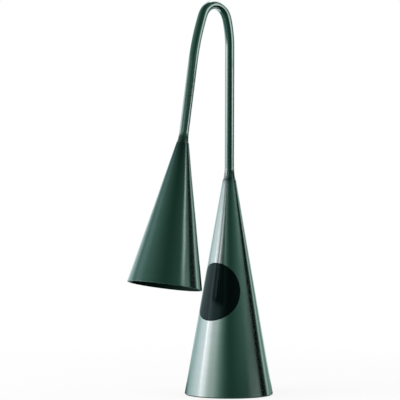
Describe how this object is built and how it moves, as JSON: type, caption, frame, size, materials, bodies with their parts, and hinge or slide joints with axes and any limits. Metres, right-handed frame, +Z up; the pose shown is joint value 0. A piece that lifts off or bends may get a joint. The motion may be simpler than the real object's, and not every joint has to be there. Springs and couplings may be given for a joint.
{
  "type": "agogo bell",
  "caption": "Agogo: a large and a small conical steel bell welded to the ends of a bent rod handle, struck with a stick or squeezed together until the rims click.",
  "frame": {"origin": "centre of the large bell's mouth, in the plane of its rim", "axes": "+Z up the large bell's axis; the handle is bent in the XZ plane with the small bell on the -X side; +Y square to the handle's plane, on the side of the weld seams"},
  "size_m": [0.1464, 0.0754, 0.3327],
  "materials": {
    "bell_steel": "brushed round the axis, lacquered",
    "rod_steel": "drawn bar, polished along its length",
    "weld_steel": "ground weld, a little darker than the sheet",
    "print_ink": "plain black round screen print on the large bell, without a mark"
  },
  "bodies": {
    "large_bell_side": {"large_bell": "bell_steel", "large_seam_weld": "weld_steel", "large_tip_weld": "weld_steel", "handle_rod": "rod_steel"},
    "small_bell_side": {"small_bell": "bell_steel", "small_seam_weld": "weld_steel", "small_tip_weld": "weld_steel"}
  },
  "joints": [
    {"name": "squeeze", "type": "hinge", "parent": "large_bell_side", "child": "small_bell_side", "pos_m": [-0.01896, 0, 0.31274], "axis": [0, -1, 0], "range_deg": [0, 6.5], "stiffness_Nm_per_rad": 150, "deforming": ["handle_rod"]}
  ]
}
